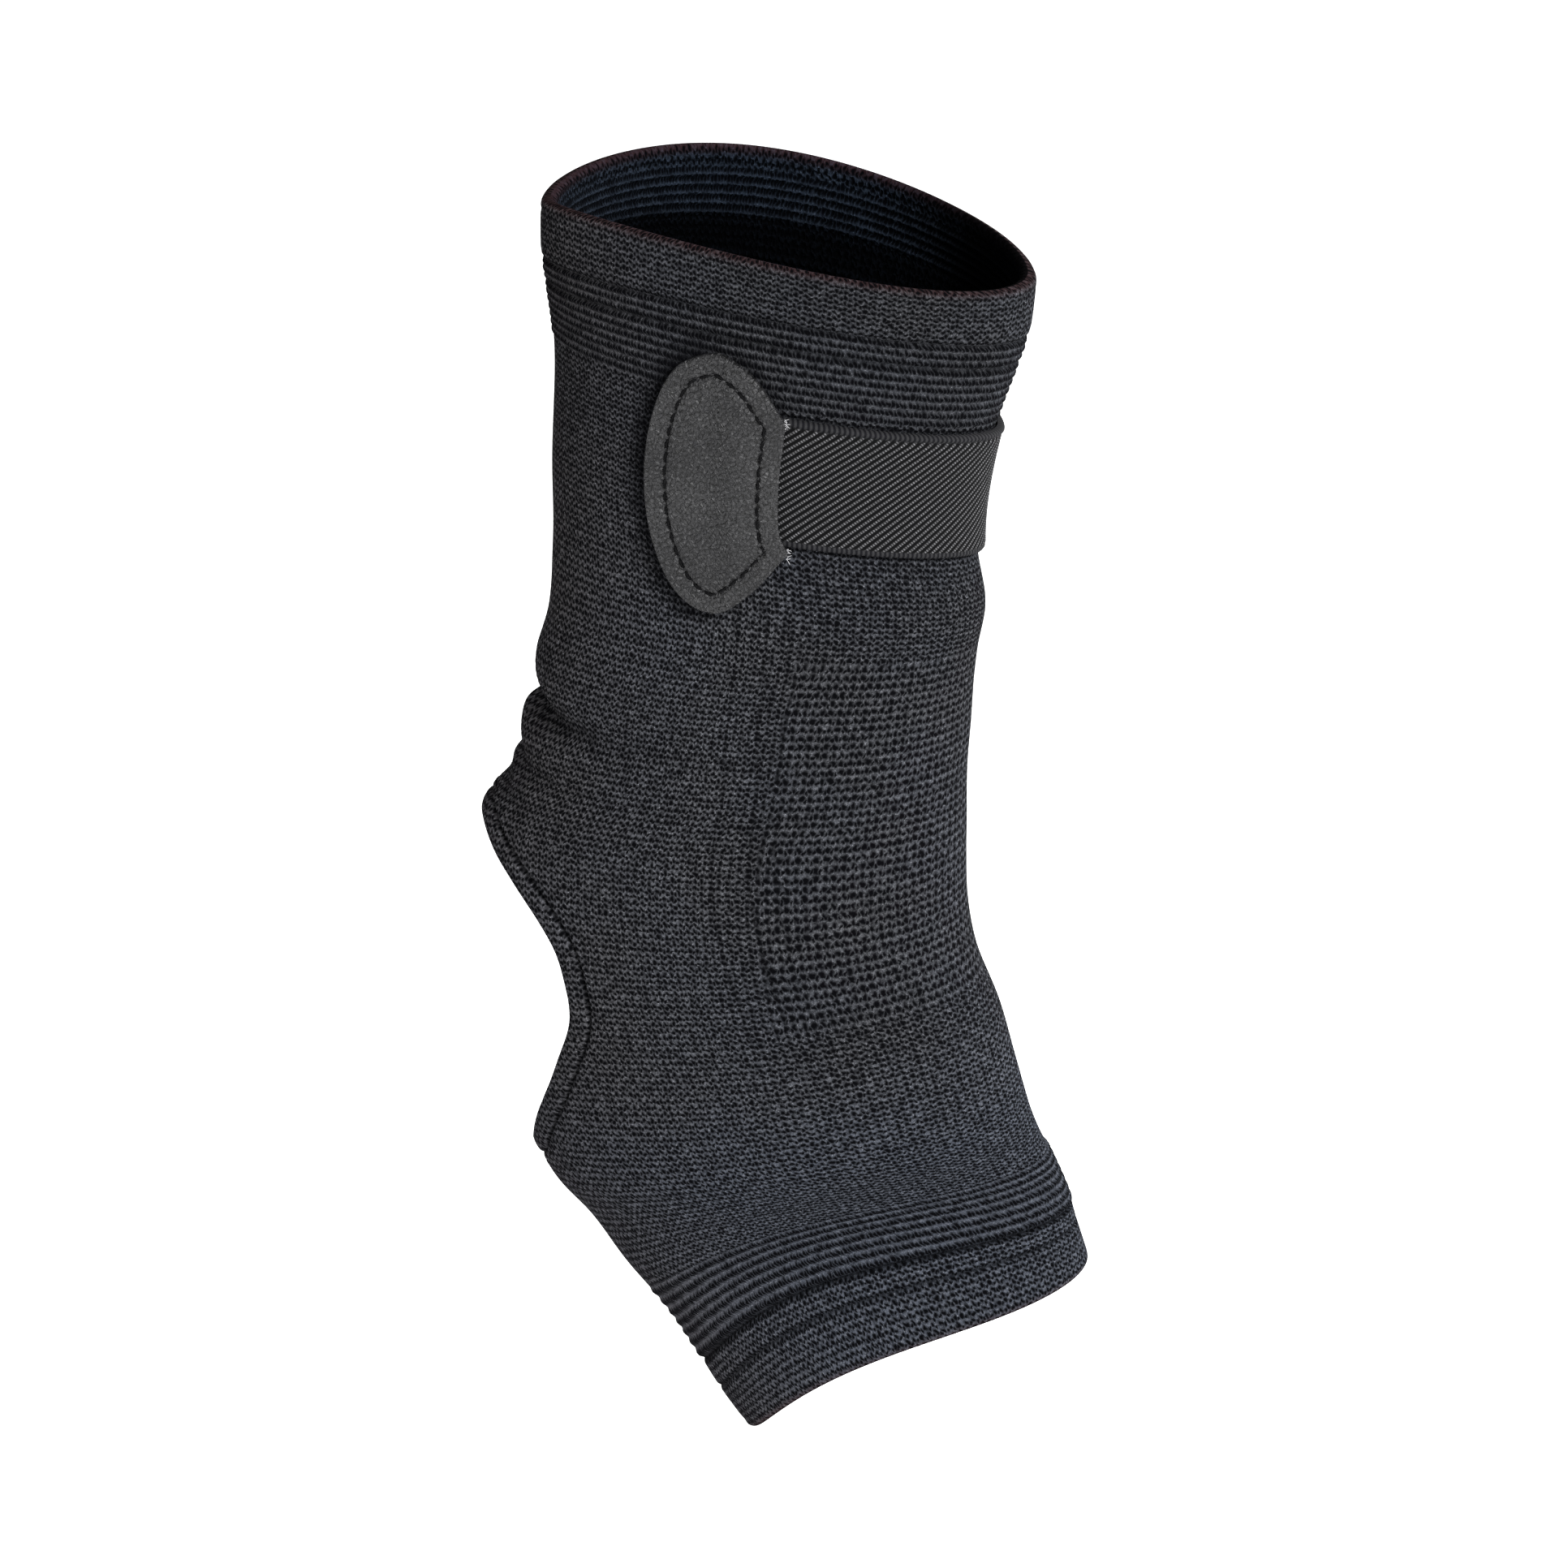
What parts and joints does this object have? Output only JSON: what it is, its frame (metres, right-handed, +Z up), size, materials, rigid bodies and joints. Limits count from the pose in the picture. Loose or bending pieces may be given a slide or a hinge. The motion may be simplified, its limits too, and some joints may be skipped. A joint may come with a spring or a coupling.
{
  "type": "ankle brace",
  "caption": "Open-heel knitted ankle brace in its worn form, a hollow leg-and-foot tube with ribbed ends, an elastic band and D-shaped leather patches; it wraps and steadies an ankle",
  "frame": {"origin": "the middle of the ankle, inside the sleeve where the leg and the foot meet", "axes": "+Z up the leg, +X forward to the shin and the toes, -Y the near side that the picture shows"},
  "size_m": [0.1143, 0.0652, 0.2471],
  "materials": {
    "knit": "charcoal weft knit with ribbed ends",
    "turned_knit": "the same knit, turned in",
    "elastic": "black twill-woven elastic",
    "leather": "black grained leather, satin"
  },
  "bodies": {
    "root": {"knit_sleeve": "knit", "top_facing": "turned_knit", "toe_facing": "turned_knit", "heel_hem": "turned_knit", "elastic_band": "elastic", "near_patch": "leather", "far_patch": "leather"}
  },
  "joints": []
}
